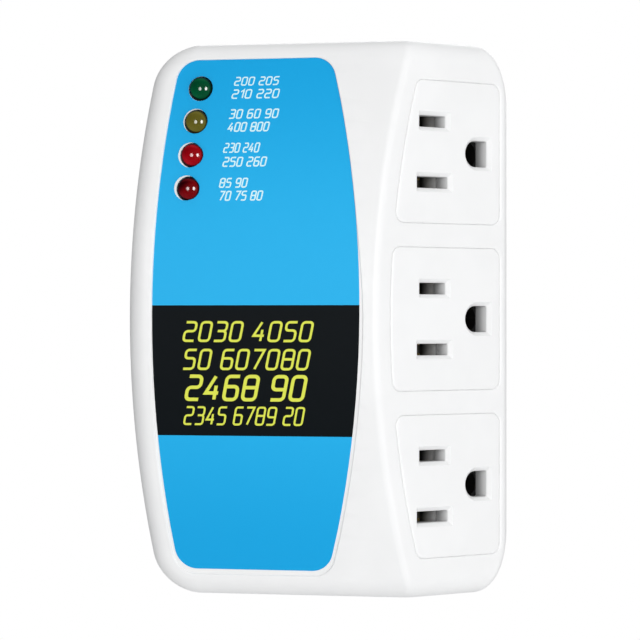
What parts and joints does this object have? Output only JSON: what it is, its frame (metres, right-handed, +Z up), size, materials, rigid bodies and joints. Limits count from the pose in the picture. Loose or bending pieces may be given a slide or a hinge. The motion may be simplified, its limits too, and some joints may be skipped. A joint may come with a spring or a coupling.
{
  "type": "appliance voltage protector",
  "caption": "Plug-in voltage protector: domed white housing with a front label, indicator lamps, and grounded outlets stacked on a slanted side face.",
  "frame": {"origin": "centre of the housing's back face, in the plane of the wall", "axes": "+Z up along the column of outlets, +X to the right seen from the front, +Y into the wall"},
  "size_m": [0.0756, 0.0586, 0.116],
  "materials": {
    "white_shell": "satin white moulding",
    "white_face": "satin white moulding",
    "label_print": "printed satin film, blue with a black band",
    "lamp_green": "tinted clear resin",
    "lamp_amber": "tinted clear resin",
    "lamp_red": "tinted clear resin",
    "lamp_dark_red": "tinted clear resin",
    "nylon": "natural nylon",
    "brass": "stamped, lightly polished",
    "steel": "zinc plated",
    "copper": "bare and enamelled copper",
    "board": "green solder mask",
    "relay_blue": "moulded blue plastic",
    "film_yellow": "moulded yellow case",
    "epoxy_black": "moulded epoxy",
    "ceramic_tan": "lacquered ceramic",
    "wire_black": "PVC insulation",
    "wire_white": "PVC insulation",
    "wire_green": "PVC insulation"
  },
  "bodies": {
    "protector": {"front_housing": "white_shell", "rear_cover": "white_shell", "outlet_face_top": "white_face", "outlet_face_middle": "white_face", "outlet_face_bottom": "white_face", "front_label": "label_print", "led_green": "lamp_green", "led_amber": "lamp_amber", "led_red": "lamp_red", "led_dark_red": "lamp_dark_red", "contact_carrier": "nylon", "blade_clamp": "nylon", "live_strip": "brass", "neutral_strip": "brass", "ground_strip": "brass", "line_blade": "brass", "neutral_blade": "brass", "ground_pin": "brass", "carrier_screws": "steel", "board_screws": "steel", "clamp_screws": "steel", "housing_screws": "steel", "led_leads": "steel", "relay_core": "steel", "relay_yoke": "steel", "relay_coil": "copper", "relay_contacts": "copper", "circuit_board": "board", "relay_case": "relay_blue", "relay_base": "relay_blue", "varistor": "relay_blue", "electrolytic_capacitors": "relay_blue", "film_capacitor": "film_yellow", "controller_chip": "epoxy_black", "diodes": "epoxy_black", "driver_transistor": "epoxy_black", "resistors": "ceramic_tan", "live_in_wire": "wire_black", "live_out_wire": "wire_black", "neutral_wire": "wire_white", "ground_wire": "wire_green"},
    "armature": {"relay_armature": "copper"}
  },
  "joints": [
    {"name": "armature_rock", "type": "hinge", "parent": "protector", "child": "armature", "pos_m": [-0.0051, -0.0112, -0.0418], "axis": [1, 0, 0], "range_deg": [0, 4], "stiffness_Nm_per_rad": 0.01}
  ]
}
